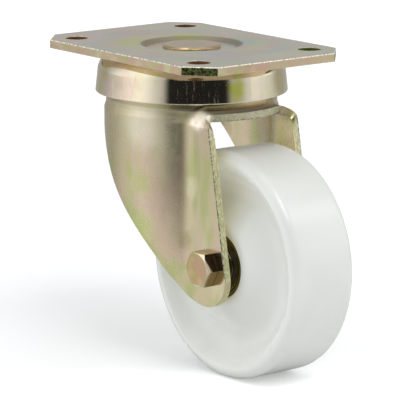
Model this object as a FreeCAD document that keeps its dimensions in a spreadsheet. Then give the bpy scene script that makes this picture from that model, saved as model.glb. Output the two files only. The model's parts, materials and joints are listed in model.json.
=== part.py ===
"""Heavy duty swivel castor: a pressed fork under a bolted plate, with a nylon wheel on ball bearings.

The plate's top face is z = 0 and the swivel axis is the Z axis. The wheel trails towards +X and
its axle lies along Y. All sizes are millimetres and live in the sheet named Sizes. Turned pieces
are revolved about Z and then stay on the swivel axis or are laid on the axle.
"""
import FreeCAD, Part
import Sketcher
import math
import os
import re

Vector = FreeCAD.Vector
Z_AXIS = Vector(0, 0, 1)

SIZES = [
    ("plate_length", 148, "length of the plate along X"),
    ("plate_width", 106, "width of the plate along Y, and the cup's diameter at its lower edge"),
    ("plate_thick", 4.8, "thickness of the plate"),
    ("plate_corner_x", 14.2, "length of the corner cut along X"),
    ("plate_corner_y", 12.8, "length of the corner cut along Y"),
    ("plate_edge", 0.8, "radius of the sheared top edge"),
    ("hole_inset_x", 18.75, "distance of the bolt holes from the plate's ends"),
    ("hole_inset_y", 15, "distance of the bolt holes from the plate's sides"),
    ("hole_dia", 13, "diameter of a bolt hole"),
    ("dish_margin", 1.5, "distance of the pressed dish from the cup's bore"),
    ("dish_slope", 3, "width of the dish's sloping wall"),
    ("dish_draw", 1, "distance of the dish's underside wall from the upper one"),
    ("dish_depth", 2, "depth of the dish"),
    ("cup_sheet", 3, "thickness of the race cup"),
    ("cup_flare", 1.3, "distance the wall flares from the crease to the lower edge"),
    ("cup_shoulder_run", 7.2, "distance from the crease in to the flat top"),
    ("cup_shoulder", 10, "radius of the cup's shoulder"),
    ("cup_crease_drop", 7.6, "height of the shoulder"),
    ("cup_inner_drop", 0.9, "distance of the inner crease below the outer one"),
    ("cup_height", 20.6, "height of the cup from its top to its lower edge"),
    ("cup_lip_round", 0.6, "radius of the lower edge"),
    ("cup_bore_inset", 8.5, "distance of the hole in the cup's top from the row of balls"),
    ("upper_ball_dia", 8, "diameter of a ball of the upper row"),
    ("upper_row_inset", 6.5, "distance of the upper row from the edge of the flat top"),
    ("upper_groove_depth", 1.2, "depth of the upper row's grooves"),
    ("lower_ball_dia", 6.4, "diameter of a ball of the lower row"),
    ("lower_row_inset", 5, "distance of the lower row from the lower race's edge"),
    ("lower_groove_depth", 0.9, "depth of the lower row's grooves"),
    ("ball_play", 0.1, "clearance round a ball"),
    ("pin_radius", 10, "radius of the king pin's shank"),
    ("pin_head_overhang", 6, "distance of the pin head's rim from the shank"),
    ("pin_head_sink", 0.2, "depth of the head below the plate's top face"),
    ("pin_head_bevel", 0.9, "width of the bevel on the head and on the pin's end"),
    ("pin_tail", 2, "length of the pin below its nut"),
    ("crown_bore_gap", 2, "clearance of the crown round the king pin"),
    ("race_gap", 12.2, "distance of the lower race from the wall of the neck"),
    ("race_edge", 1, "width of the bevel under the lower race"),
    ("lower_race_thick", 3.6, "thickness of the lower race"),
    ("pin_washer_margin", 3, "distance of the washer's rim from the nut's flats"),
    ("pin_washer_thick", 2.5, "thickness of the washer on the king pin"),
    ("pin_nut_flats", 30, "width of the king pin nut across its flats"),
    ("pin_nut_height", 12, "height of the king pin nut"),
    ("fork_sheet", 4, "thickness of the fork"),
    ("neck_gap", 1.5, "clearance of the neck inside the cup's crease"),
    ("neck_round", 3, "radius of the neck's top edge"),
    ("neck_foot", 5, "radius of the fillet at the foot of the neck"),
    ("neck_foot_inside", 1, "radius of the same fillet inside the sheet"),
    ("body_step", 1, "distance of the drawn body's wall outside the neck"),
    ("flange_fillet", 12, "radius of the valley between the round body and the flange"),
    ("crown_gap", 5.4, "height of the gap between the cup's lower edge and the crown"),
    ("crown_round", 4, "radius of the round body's shoulder"),
    ("leg_bend", 7, "radius of the bend from the crown to the flange"),
    ("shoulder_inside", 0.5, "radius of the shoulder inside the sheet"),
    ("lip_reach", 5.3, "distance of the crown's front lip from the neck"),
    ("fade_drop", 31.2, "height below the crown at which the bulge starts to flatten"),
    ("foot_flat", 5.8, "height of the flat foot below the bulge"),
    ("front_step", 0.5, "distance of the legs' front edge ahead of the lip, at the crown"),
    ("front_margin", 15.13, "distance of the legs' front edge ahead of the axle, at its height"),
    ("rear_start_share", 0.4, "how far back the legs' sections start, as a share of the body"),
    ("rear_inset", 18.7, "distance of the rear edge's top from the back of the body"),
    ("heel_margin", 22.8, "distance of the rear edge's foot behind the axle"),
    ("skirt_height", 9.7, "height of the skirt behind"),
    ("skirt_corner", 9, "radius of the corner between the skirt and the rear edge"),
    ("foot_margin", 21.4, "distance of the legs' lowest edge below the axle"),
    ("toe_radius", 16, "radius of the foot's front corner"),
    ("foot_level", 0.6, "length of the straight stretch between the foot's two round corners"),
    ("axle_margin", 10.87, "distance of the axle ahead of the valley, where the flange is flat"),
    ("leg_gap", 6.2, "clearance between the wheel's side and each leg"),
    ("wheel_gap", 15.1, "clearance between the wheel and the crown"),
    ("bolt_radius", 6, "radius of the axle bolt"),
    ("bolt_play", 0.05, "clearance of the bolt in the legs and in the sleeve"),
    ("bolt_flats", 18, "width of the bolt head and the nut across their flats"),
    ("bolt_head_height", 6.8, "height of the bolt head"),
    ("bolt_bevel", 1, "width of the bevel on the bolt's end and on the nut's collar"),
    ("washer_margin", 3, "distance of the washer's rim from the nut's flats"),
    ("axle_washer_thick", 2.5, "thickness of the washer under the nut"),
    ("axle_nut_height", 9, "height of the lock nut's hexagon"),
    ("axle_collar_height", 3, "height of the lock nut's collar"),
    ("axle_collar_step", 0.6, "distance of the collar inside the flats"),
    ("bolt_tail", 1.5, "length of the bolt past its nut"),
    ("sleeve_wall", 1.5, "thickness of the axle sleeve with its clearance"),
    ("bearing_radius", 17.5, "radius of the bearing outside"),
    ("bearing_width", 11, "width of the bearing along the axle"),
    ("bearing_proud", 0.7, "distance of the bearing's face outside the tread's side"),
    ("bearing_ball_dia", 6, "diameter of a bearing ball"),
    ("bearing_groove_depth", 0.9, "depth of the bearing's grooves"),
    ("bearing_edge", 0.6, "width of the bevels on the rings' corners"),
    ("bearing_shoulder", 3, "height of the hub's shoulder behind the bearing"),
    ("seal_inset", 0.5, "depth of the seal behind the bearing's face"),
    ("seal_thick", 0.8, "thickness of the seal"),
    ("seal_gap", 0.3, "clearance of the seal from the inner ring"),
    ("cage_thick", 1.6, "thickness of the cage between the rings"),
    ("cage_width", 7.6, "width of the cage along the axle"),
    ("spacer_wall", 2.7, "thickness of the spacer beside each bearing"),
    ("wheel_radius", 62.5, "radius of the wheel"),
    ("wheel_width", 41.6, "width of the wheel at the tread"),
    ("tread_round", 5.2, "radius of the tread's corners"),
    ("rim_width", 6.1, "distance of the recess's edge from the tread"),
    ("rim_round", 1.8, "radius of the recess's edge"),
    ("rim_slope", 48, "slope of the recess below the rim, in degrees"),
    ("recess_depth", 9.3, "depth of the recess"),
    ("recess_round", 12, "radius of the bends at the bottom of the recess"),
    ("hub_wall", 4.5, "thickness of the hub round the bearing, at its face"),
    ("hub_round", 8, "radius of the hub's edge"),
    ("hub_slope", 32, "slope of the hub, in degrees"),
    ("bearing_sink", 0.4, "depth of the bearing's face inside the hub's"),
    ("seat_bevel", 0.6, "width of the bevel at the mouth of the bearing's seat"),
    ("overcut", 1, "length that a cut runs past the face it cuts"),
]
UPPER_BALLS = 24
LOWER_BALLS = 20
BEARING_BALLS = 8
BEVEL_START = 0.475
BEVEL_END = 0.62
LEG_STEPS = 6
NEAR = 0.01

doc = FreeCAD.newDocument("castor")
sheet = doc.addObject("Spreadsheet::Sheet", "Sizes")
for row, (alias, number, meaning) in enumerate(SIZES, start=1):
    sheet.set(f"A{row}", meaning)
    sheet.set(f"B{row}", str(number))
    sheet.setAlias(f"B{row}", alias)
doc.recompute()
ALIASES = {alias for alias, number, meaning in SIZES}
parts = []


# Sizes, sketches and bodies
def formula(text):
    """The text with each alias in it pointing at the sheet."""
    return re.sub(r"[a-z_]+", lambda word: "Sizes." + word[0] if word[0] in ALIASES else word[0], text)


def num(text):
    """The value of an expression in aliases."""
    return float(sheet.evalExpression(formula(text)))


def bind(thing, prop, text):
    thing.setExpression(prop, formula(text))


def new_body(label):
    body = doc.addObject("PartDesign::Body", label)
    body.Label = label
    parts.append(body)
    return body


def new_sketch(body, plane, depth="0"):
    """A sketch on one of the body's own planes, or at a height above it."""
    sketch = body.newObject("Sketcher::SketchObject", body.Name + "_sketch")
    support = [item for item in body.Origin.OriginFeatures if item.Role == plane][0]
    sketch.AttachmentSupport = [(support, "")]
    sketch.MapMode = "FlatFace"
    bind(sketch, ".AttachmentOffset.Base.z", depth)
    return sketch


def arc_between(start, end, radius, side):
    """The short arc between two points, with its centre to the left (1) or right (-1) of the way."""
    chord = end - start
    left = Vector(-chord.y, chord.x, 0).normalize()
    rise = math.sqrt(max(radius ** 2 - (chord.Length / 2) ** 2, 0))
    centre = (start + end) * 0.5 + left * rise * side
    first, last = (start, end) if side > 0 else (end, start)
    angles = [math.atan2(point.y - centre.y, point.x - centre.x) for point in (first, last)]
    return Part.ArcOfCircle(Part.Circle(centre, Z_AXIS, radius), angles[0], angles[1])


def hold(sketch, kind, place, text):
    """A dimension of the sketch, bound to the sheet."""
    index = sketch.addConstraint(Sketcher.Constraint(kind, *place, num(text)))
    bind(sketch, f"Constraints[{index}]", text)


def outline(sketch, corners):
    """A closed outline. A corner is (x, y), or (x, y, radius, side) where an arc leaves it."""
    points = [Vector(num(corner[0]), num(corner[1]), 0) for corner in corners]
    ends = []
    for index, corner in enumerate(corners):
        start = points[index]
        end = points[(index + 1) % len(points)]
        if len(corner) == 2:
            edge = sketch.addGeometry(Part.LineSegment(start, end))
            ends.append((edge, 1, 2))
        else:
            edge = sketch.addGeometry(arc_between(start, end, num(corner[2]), corner[3]))
            ends.append((edge, 1, 2) if corner[3] > 0 else (edge, 2, 1))
    for index, corner in enumerate(corners):
        edge, first, last = ends[index]
        following = ends[(index + 1) % len(ends)]
        sketch.addConstraint(Sketcher.Constraint("Coincident", edge, last, following[0], following[1]))
        hold(sketch, "DistanceX", (-1, 1, edge, first), corner[0])
        hold(sketch, "DistanceY", (-1, 1, edge, first), corner[1])
        if len(corner) == 4:
            hold(sketch, "Radius", (edge,), corner[2])


def circle(sketch, across, up, radius):
    edge = sketch.addGeometry(Part.Circle(Vector(num(across), num(up), 0), Z_AXIS, num(radius)))
    hold(sketch, "DistanceX", (-1, 1, edge, 3), across)
    hold(sketch, "DistanceY", (-1, 1, edge, 3), up)
    hold(sketch, "Radius", (edge,), radius)


def feature(body, kind, sketch, **settings):
    """A sketch based feature. Settings that are text are bound to the sheet."""
    made = body.newObject("PartDesign::" + kind, f"{body.Name}_{kind.lower()}")
    made.Profile = sketch
    sketch.Visibility = False
    for prop, setting in settings.items():
        if isinstance(setting, str):
            bind(made, prop, setting)
        else:
            setattr(made, prop, setting)
    body.Tip = made
    doc.recompute()
    return made


def spin(body, corners, kind="Revolution"):
    """A revolved profile about Z. Corners are (radius, height)."""
    sketch = new_sketch(body, "XZ_Plane")
    outline(sketch, corners)
    return feature(body, kind, sketch, ReferenceAxis=(sketch, ["V_Axis"]), Angle=360.0)


def pad(body, corners, depth, length):
    """An outline in XY, raised from a height by a length."""
    sketch = new_sketch(body, "XY_Plane", depth)
    outline(sketch, corners)
    return feature(body, "Pad", sketch, Length=length)


def on_axle(body, along="0"):
    """Lay a turned piece on the axle: its own Z becomes +Y."""
    body.Placement = FreeCAD.Placement(Vector(), FreeCAD.Rotation(Vector(1, 0, 0), -90))
    bind(body, ".Placement.Base.x", TRAIL)
    bind(body, ".Placement.Base.y", along)
    bind(body, ".Placement.Base.z", f"-{AXLE}")


def hexagon(flats):
    """Corners of a hexagon whose flats face up and down in its sketch."""
    half = f"{flats} / 2"
    side = f"{flats} / 2 * tan(30 deg)"
    return [(f"2 * {side}", "0"), (side, half), (f"-{side}", half),
            (f"-2 * {side}", "0"), (f"-{side}", f"-{half}"), (side, f"-{half}")]


def bevel_hexagon(body, flats, end, inward):
    """Turn off the hexagon's corners at one end, at 30 degrees. inward is +1 or -1 along the height."""
    wide = f"{flats} * {BEVEL_END}"
    start = f"{flats} * {BEVEL_START}"
    drop = f"({wide} - {start}) * tan(30 deg) * {inward}"
    past = f"{end} - {inward} * overcut"
    spin(body, [(start, end), (wide, f"{end} + {drop}"), (wide, past), (start, past)], "Groove")


# Radii and reaches that several pieces share, as expressions
CUP_LIP = "(plate_width / 2)"
CUP_CREASE = f"({CUP_LIP} - cup_flare)"
CUP_FLAT = f"({CUP_CREASE} - cup_shoulder_run)"
UPPER_PITCH = f"({CUP_FLAT} - upper_row_inset)"
CUP_BORE = f"({UPPER_PITCH} - cup_bore_inset)"
DISH_RIM = f"({CUP_BORE} - dish_margin)"
DISH_FLOOR = f"({DISH_RIM} - dish_slope)"
NECK = f"({CUP_CREASE} - cup_sheet - neck_gap)"
BODY = f"({NECK} + body_step)"
LIP = f"({NECK} + lip_reach)"
LOWER_RACE = f"({NECK} - fork_sheet - race_gap)"
LOWER_PITCH = f"({LOWER_RACE} - lower_row_inset)"
PIN_HEAD = "(pin_radius + pin_head_overhang)"
PIN_WASHER = "(pin_nut_flats / 2 + pin_washer_margin)"
LEG_INSIDE = "(wheel_width / 2 + leg_gap)"
FLANGE = f"({LEG_INSIDE} + fork_sheet)"
SLEEVE = "(bolt_radius + sleeve_wall)"
VALLEY_FOOT = f"sqrt(({BODY} + flange_fillet)^2 - ({FLANGE} + flange_fillet)^2)"
TRAIL = f"({VALLEY_FOOT} + axle_margin)"

# Heights that several pieces share
CUP_TOP = "-plate_thick"
CUP_UNDERSIDE = "(-plate_thick - cup_sheet)"
UPPER_GROOVE = "(upper_ball_dia / 2 + ball_play)"
UPPER_HALF_CHORD = f"sqrt({UPPER_GROOVE}^2 - ({UPPER_GROOVE} - upper_groove_depth)^2)"
UPPER_ROW = f"({CUP_UNDERSIDE} + upper_groove_depth - {UPPER_GROOVE})"
NECK_TOP = f"({UPPER_ROW} - {UPPER_GROOVE} + upper_groove_depth)"
NECK_UNDERSIDE = f"({NECK_TOP} - fork_sheet)"
LOWER_GROOVE = "(lower_ball_dia / 2 + ball_play)"
LOWER_HALF_CHORD = f"sqrt({LOWER_GROOVE}^2 - ({LOWER_GROOVE} - lower_groove_depth)^2)"
LOWER_ROW = f"({NECK_UNDERSIDE} + lower_groove_depth - {LOWER_GROOVE})"
RACE_TOP = f"({LOWER_ROW} - {LOWER_GROOVE} + lower_groove_depth)"
RACE_UNDERSIDE = f"({RACE_TOP} - lower_race_thick)"
PIN_NUT_TOP = f"({RACE_UNDERSIDE} - pin_washer_thick)"
PIN_NUT_UNDERSIDE = f"({PIN_NUT_TOP} - pin_nut_height)"
PIN_END = f"({PIN_NUT_UNDERSIDE} - pin_tail)"

# Depths below the plate's top face
CROWN = "(plate_thick + cup_height + crown_gap)"
SKIRT = f"({CROWN} + skirt_height)"
AXLE = f"({CROWN} + fork_sheet + wheel_gap + wheel_radius)"
FOOT = f"({AXLE} + foot_margin)"
FADE_START = f"({CROWN} + fade_drop)"
FADE_LENGTH = f"({FOOT} - foot_flat - {FADE_START})"


# Swivel head
def build_plate():
    """Sheared octagonal plate with four bolt holes and a dish pressed down round the king pin."""
    body = new_body("top_plate")
    half_x, half_y = "plate_length / 2", "plate_width / 2"
    in_x, in_y = f"{half_x} - plate_corner_x", f"{half_y} - plate_corner_y"
    corners = [(half_x, f"-({in_y})"), (half_x, in_y), (in_x, half_y), (f"-({in_x})", half_y),
               (f"-{half_x}", in_y), (f"-{half_x}", f"-({in_y})"),
               (f"-({in_x})", f"-{half_y}"), (in_x, f"-{half_y}")]
    blank = pad(body, corners, CUP_TOP, "plate_thick")
    top_edges = [f"Edge{index}" for index, edge in enumerate(blank.Shape.Edges, start=1)
                 if edge.BoundBox.ZMin > -0.001]
    rounding = body.newObject("PartDesign::Fillet", "top_plate_edge")
    rounding.Base = (blank, top_edges)
    bind(rounding, "Radius", "plate_edge")
    body.Tip = rounding
    doc.recompute()
    dish_under = f"{CUP_TOP} - dish_depth"
    spin(body, [("pin_radius", CUP_TOP), (f"{DISH_RIM} - dish_draw", CUP_TOP),
                (f"{DISH_FLOOR} - dish_draw", dish_under), ("pin_radius", dish_under)])
    spin(body, [("0", "overcut"), (DISH_RIM, "overcut"), (DISH_RIM, "0"),
                (DISH_FLOOR, "-dish_depth"), ("pin_radius", "-dish_depth"),
                ("pin_radius", f"{dish_under} - overcut"), ("0", f"{dish_under} - overcut")], "Groove")
    holes = new_sketch(body, "XY_Plane", "overcut")
    for sign_x in ("", "-"):
        for sign_y in ("", "-"):
            circle(holes, f"{sign_x}({half_x} - hole_inset_x)", f"{sign_y}({half_y} - hole_inset_y)",
                   "hole_dia / 2")
    feature(body, "Pocket", holes, Length="plate_thick + 2 * overcut")


def build_cup():
    """Pressed ring welded under the plate: flat top with a ball groove, shoulder, flared wall."""
    body = new_body("race_cup")
    crease = f"{CUP_TOP} - cup_crease_drop"
    bottom = f"{CUP_TOP} - cup_height"
    inside = f"{CUP_LIP} - cup_sheet"
    spin(body, [(CUP_BORE, CUP_TOP),
                (CUP_BORE, CUP_UNDERSIDE),
                (f"{UPPER_PITCH} - {UPPER_HALF_CHORD}", CUP_UNDERSIDE, UPPER_GROOVE, -1),
                (f"{UPPER_PITCH} + {UPPER_HALF_CHORD}", CUP_UNDERSIDE),
                (f"{CUP_FLAT} - cup_inner_drop", CUP_UNDERSIDE, "cup_shoulder - cup_sheet", -1),
                (f"{CUP_CREASE} - cup_sheet", f"{crease} - cup_inner_drop"),
                (inside, f"{bottom} + cup_lip_round"),
                (f"{inside} + cup_lip_round", bottom),
                (f"{CUP_LIP} - cup_lip_round", bottom, "cup_lip_round", 1),
                (CUP_LIP, f"{bottom} + cup_lip_round"),
                (CUP_CREASE, crease, "cup_shoulder", 1),
                (CUP_FLAT, CUP_TOP)])


def build_king_pin():
    """Headed pin, sunk in the dish and clamped below by its nut."""
    body = new_body("king_pin")
    head_top, seat = "-pin_head_sink", "-dish_depth"
    spin(body, [("0", head_top), (f"{PIN_HEAD} - pin_head_bevel", head_top),
                (PIN_HEAD, f"{head_top} - pin_head_bevel"), (PIN_HEAD, seat),
                ("pin_radius", seat), ("pin_radius", f"{PIN_END} + pin_head_bevel"),
                ("pin_radius - pin_head_bevel", PIN_END), ("0", PIN_END)])


def build_lower_race():
    """Ring on the king pin that carries the lower row of balls."""
    body = new_body("lower_race")
    spin(body, [("pin_radius", RACE_TOP),
                ("pin_radius", RACE_UNDERSIDE),
                (f"{LOWER_RACE} - race_edge", RACE_UNDERSIDE),
                (LOWER_RACE, f"{RACE_UNDERSIDE} + race_edge"),
                (LOWER_RACE, RACE_TOP),
                (f"{LOWER_PITCH} + {LOWER_HALF_CHORD}", RACE_TOP, LOWER_GROOVE, -1),
                (f"{LOWER_PITCH} - {LOWER_HALF_CHORD}", RACE_TOP)])


def build_pin_washer():
    body = new_body("pin_washer")
    spin(body, [("pin_radius", RACE_UNDERSIDE), ("pin_radius", PIN_NUT_TOP),
                (PIN_WASHER, PIN_NUT_TOP), (PIN_WASHER, RACE_UNDERSIDE)])


def build_pin_nut():
    body = new_body("pin_nut")
    pad(body, hexagon("pin_nut_flats"), PIN_NUT_UNDERSIDE, "pin_nut_height")
    bevel_hexagon(body, "pin_nut_flats", PIN_NUT_UNDERSIDE, 1)
    bore = new_sketch(body, "XY_Plane", f"{PIN_NUT_TOP} + overcut")
    circle(bore, "0", "0", "pin_radius")
    feature(body, "Pocket", bore, Length="pin_nut_height + 2 * overcut")


def ball_row(label, count, ball_dia, pitch_radius, height):
    """Loose balls evenly round the Z axis."""
    row = doc.addObject("Part::Feature", label)
    row.Label = label
    balls = []
    for index in range(count):
        turn = 2 * math.pi * index / count
        centre = Vector(num(pitch_radius) * math.cos(turn), num(pitch_radius) * math.sin(turn), num(height))
        balls.append(Part.makeSphere(num(ball_dia) / 2, centre))
    row.Shape = Part.makeCompound(balls)
    parts.append(row)
    return row


# Pressed fork
def fillet_centre():
    """Centre of the valley's arc, tangent to the round body and to the flange's outer face."""
    return Vector(num(VALLEY_FOOT), num(f"{FLANGE} + flange_fillet"), 0)


def plan_wire(inset, front, height):
    """Plan outline of the drawn body: round behind, valleys at the sides, flat flanges in front."""
    flat = num(FLANGE) - inset
    radius = num(BODY) - inset
    valley = num("flange_fillet") + inset
    centre = fillet_centre()
    touch = Vector(centre).normalize() * radius
    foot = Vector(centre.x, flat, 0)
    middle = ((foot - centre).normalize() + (touch - centre).normalize()).normalize()
    crest = centre + middle * valley
    points = [Vector(front, flat, 0), foot, crest, touch]
    left = [Vector(point.x, point.y, height) for point in points]
    right = [Vector(point.x, -point.y, height) for point in points]
    edges = [Part.makeLine(left[0], left[1]),
             Part.Arc(left[1], left[2], left[3]).toShape(),
             Part.Arc(left[3], Vector(-radius, 0, height), right[3]).toShape(),
             Part.Arc(right[3], right[2], right[1]).toShape(),
             Part.makeLine(right[1], right[0]),
             Part.makeLine(right[0], left[0])]
    return Part.Wire(edges)


def front_reach():
    """A length along X that is well past every leg edge."""
    return num(f"{TRAIL} + {AXLE}")


def drawn_block(label, inset, shoulder, bend):
    """The drawn body as a block, with its shoulder rounded and the legs bent down from the crown."""
    top = -num(CROWN) - inset
    bottom = -num(FADE_START) - (num("overcut") if inset else 0)
    front = front_reach()
    block = doc.addObject("Part::Feature", label + "_block")
    block.Shape = Part.Face(plan_wire(inset, front, bottom)).extrude(Vector(0, 0, top - bottom))
    rounded = doc.addObject("Part::Fillet", label)
    rounded.Base = block
    radii = []
    for index, edge in enumerate(block.Shape.Edges, start=1):
        box = edge.BoundBox
        if box.ZMin < top - NEAR or box.XMin > front - NEAR:
            continue
        if box.XMax > front - NEAR:
            radii.append((index, bend, bend))
        elif box.XMin < 0:
            radii.append((index, shoulder, shoulder))
        else:
            starts_ahead = edge.Vertexes[0].X > edge.Vertexes[-1].X
            radii.append((index, bend, shoulder) if starts_ahead else (index, shoulder, bend))
    rounded.Edges = radii
    doc.recompute()
    return rounded.Shape


def on_cylinder(edge, radius):
    """Whether an edge lies on the cylinder of that radius about Z."""
    return all(abs(math.hypot(point.x, point.y) - radius) < NEAR for point in edge.discretize(5))


def with_neck(block, inset, foot, top_round):
    """The block with the raised neck on it, blended into it at the foot and rounded at its top."""
    top = num(NECK_TOP) - inset
    radius = num(NECK) - inset
    low = -num(FADE_START)
    raised = block.fuse(Part.makeCylinder(radius, top - low, Vector(0, 0, low))).removeSplitter()
    rims = [edge for edge in raised.Edges if on_cylinder(edge, radius) and edge.BoundBox.ZLength < foot + 1]
    heads = [edge for edge in rims if edge.BoundBox.ZMin > top - NEAR]
    feet = [edge for edge in rims if low + NEAR < edge.BoundBox.ZMin < top - NEAR]
    return raised.makeFillet(foot, feet).makeFillet(top_round, heads)


def flattened(edge, flat, share, depth, side):
    """An arc of the full section as a spline, its bulge beyond the flange scaled by share."""
    spline = edge.Curve.toBSpline(edge.FirstParameter, edge.LastParameter)
    for index, pole in enumerate(spline.getPoles(), start=1):
        spline.setPole(index, Vector(pole.x, side * (flat + (pole.y - flat) * share), -depth))
    return spline.toShape()


def leg_section(share, depth, side, rear, front):
    """Section of one leg at a depth. share is how much of the bulge is left, from 1 to 0."""
    centre = fillet_centre()
    edges = []
    ends = []
    for inset in (0, num("fork_sheet")):
        flat = num(FLANGE) - inset
        radius = num(BODY) - inset
        touch = math.atan2(centre.y, centre.x)
        back = math.acos(rear / radius)
        valley = Part.Circle(centre, Z_AXIS, num("flange_fillet") + inset)
        body = Part.Circle(Vector(), Z_AXIS, radius)
        arcs = [Part.ArcOfCircle(valley, touch + math.pi, 1.5 * math.pi), Part.ArcOfCircle(body, touch, back)]
        edges += [flattened(arc.toShape(), flat, share, depth, side) for arc in arcs]
        swell = radius * math.sin(back) - flat
        tips = [Vector(front, side * flat, -depth), Vector(centre.x, side * flat, -depth),
                Vector(rear, side * (flat + swell * share), -depth)]
        edges.append(Part.makeLine(tips[0], tips[1]))
        ends.append((tips[0], tips[2]))
    edges += [Part.makeLine(ends[0][0], ends[1][0]), Part.makeLine(ends[0][1], ends[1][1])]
    return Part.Wire(Part.__sortEdges__(edges))


def leg(side):
    """One leg below the drawn body: its bulge flattens with the square of the depth."""
    rear, front = -num(f"rear_start_share * {BODY}"), front_reach()
    sections = []
    for step in range(LEG_STEPS + 1):
        share = 1 - (step / LEG_STEPS) ** 2
        depth = num(FADE_START) + num(FADE_LENGTH) * step / LEG_STEPS
        sections.append(leg_section(share, depth, side, rear, front))
    bulge = Part.makeLoft(sections, True, False)
    thick, past = num("fork_sheet"), num(f"{FOOT} + overcut")
    near = num(LEG_INSIDE) if side > 0 else -num(FLANGE)
    foot = Part.makeBox(front - rear, thick, past - num(FADE_START) - num(FADE_LENGTH),
                        Vector(rear, near, -past))
    return [bulge, foot]


def half_angle(before, here, after):
    """Half the angle at a corner of an outline."""
    return (before - here).getAngle(after - here) / 2


def rounded_outline(corners):
    """A closed wire through (point, radius) corners, each rounded by its radius."""
    stretches = []
    for index, (here, radius) in enumerate(corners):
        before = corners[index - 1][0]
        after = corners[(index + 1) % len(corners)][0]
        half = half_angle(before, here, after)
        back, ahead = (before - here).normalize(), (after - here).normalize()
        reach = radius / math.tan(half)
        crest = here + (back + ahead).normalize() * (radius / math.sin(half) - radius)
        stretches.append((here + back * reach, crest, here + ahead * reach, radius))
    edges = []
    for index, (start, crest, end, radius) in enumerate(stretches):
        if radius > 0:
            edges.append(Part.Arc(start, crest, end).toShape())
        edges.append(Part.makeLine(end, stretches[(index + 1) % len(stretches)][0]))
    return Part.Wire(edges)


def front_edge(depth):
    """Place along X of the legs' straight front edges at a depth."""
    at_crown, at_axle = num(f"{LIP} + front_step"), num(f"{TRAIL} + front_margin")
    lean = (at_axle - at_crown) / num(f"{AXLE} - {CROWN}")
    return at_crown + lean * (depth - num(CROWN))


def side_blank():
    """What the side view keeps: sloping front edges, rounded foot, rear edges and skirt."""
    wide = num(f"{BODY} + overcut")
    foot, skirt = num(FOOT), num(SKIRT)
    front = Vector(front_edge(0), 0, 0)
    toe = Vector(front_edge(foot), 0, -foot)
    heel = Vector(num(f"{TRAIL} - heel_margin"), 0, -foot)
    rear = Vector(num(f"rear_inset - {BODY}"), 0, -skirt)
    toe_reach = num("toe_radius") / math.tan(half_angle(heel, toe, front))
    heel_reach = toe.x - heel.x - toe_reach - num("foot_level")
    heel_radius = heel_reach * math.tan(half_angle(rear, heel, toe))
    wire = rounded_outline([(Vector(-wide, 0, 0), 0), (Vector(-wide, 0, -skirt), 0),
                            (rear, num("skirt_corner")), (heel, heel_radius),
                            (toe, num("toe_radius")), (front, 0)])
    wire.translate(Vector(0, -wide, 0))
    return Part.Face(wire).extrude(Vector(0, 2 * wide, 0))


def front_scoop():
    """What is cut from the crown between the bends, so that its lip follows the cup."""
    half = num(f"{FLANGE} - leg_bend")
    height = num("leg_bend + fork_sheet + overcut")
    low = Vector(0, 0, -num(f"{CROWN} + leg_bend + fork_sheet"))
    reach = Part.makeBox(front_reach(), 2 * half, height, low - Vector(0, half, 0))
    return reach.cut(Part.makeCylinder(num(LIP), height, low))


def lip_corner(side):
    """What leads one leg's front edge back round its bend to the lip, square to the sheet."""
    bend, half, past = num("leg_bend"), num(f"{FLANGE} - leg_bend"), num("overcut")
    ahead, back = front_edge(num(f"{CROWN} + leg_bend")), math.sqrt(num(LIP) ** 2 - half ** 2)
    up_sheet, outward = Vector(0, -side, 1).normalize(), Vector(0, side, 1).normalize()
    centre = Vector(0, side * half, -num(f"{CROWN} + leg_bend")) - outward * past
    slant = up_sheet * (bend / math.sqrt(2))
    far, top = Vector(front_reach(), 0, 0), up_sheet * (3 * bend)
    ahead, back = Vector(ahead, 0, 0), Vector(back, 0, 0)
    curve = Part.BezierCurve()
    curve.setPoles([centre + ahead - slant, centre + ahead, centre + back, centre + back + slant])
    corners = [centre + back + slant, centre + back + top, centre + far + top,
               centre + far - slant, centre + ahead - slant]
    edges = [curve.toShape()] + [Part.makeLine(*pair) for pair in zip(corners, corners[1:])]
    cutter = Part.Face(Part.Wire(edges)).extrude(outward * (2 * bend))
    near = half if side > 0 else -half - 2 * bend
    low = Vector(0, near, -num(f"{CROWN} + leg_bend + fork_sheet"))
    return cutter.common(Part.makeBox(far.x, 2 * bend, 3 * bend, low))


def build_fork():
    """Crown and legs pressed from one sheet, with ball grooves in the crown above and below."""
    thick, past = num("fork_sheet"), num("overcut")
    outside = with_neck(drawn_block("drawn_outside", 0, num("crown_round"), num("leg_bend")),
                        0, num("neck_foot"), num("neck_round"))
    inside = with_neck(drawn_block("drawn_inside", thick, num("shoulder_inside"),
                                   num("leg_bend - fork_sheet")),
                       thick, num("neck_foot_inside"), num("shoulder_inside"))
    shell = outside.cut(inside)
    shell = shell.fuse(leg(1) + leg(-1)).common(side_blank())
    shell = shell.cut([front_scoop(), lip_corner(1), lip_corner(-1)])
    half = num(FLANGE) + past
    axle = Part.makeCylinder(num("bolt_radius + bolt_play"), 2 * half,
                             Vector(num(TRAIL), -half, -num(AXLE)), Vector(0, 1, 0))
    pin_hole = Part.makeCylinder(num("pin_radius + crown_bore_gap"), thick + 2 * past,
                                 Vector(0, 0, num(NECK_UNDERSIDE) - past))
    upper = Part.makeTorus(num(UPPER_PITCH), num(UPPER_GROOVE), Vector(0, 0, num(UPPER_ROW)))
    lower = Part.makeTorus(num(LOWER_PITCH), num(LOWER_GROOVE), Vector(0, 0, num(LOWER_ROW)))
    shell = shell.cut([axle, pin_hole, upper, lower]).removeSplitter()
    fork = doc.addObject("Part::Feature", "fork_housing")
    fork.Label = "fork_housing"
    fork.Shape = shell.Solids[0] if len(shell.Solids) == 1 else shell
    parts.append(fork)


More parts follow.
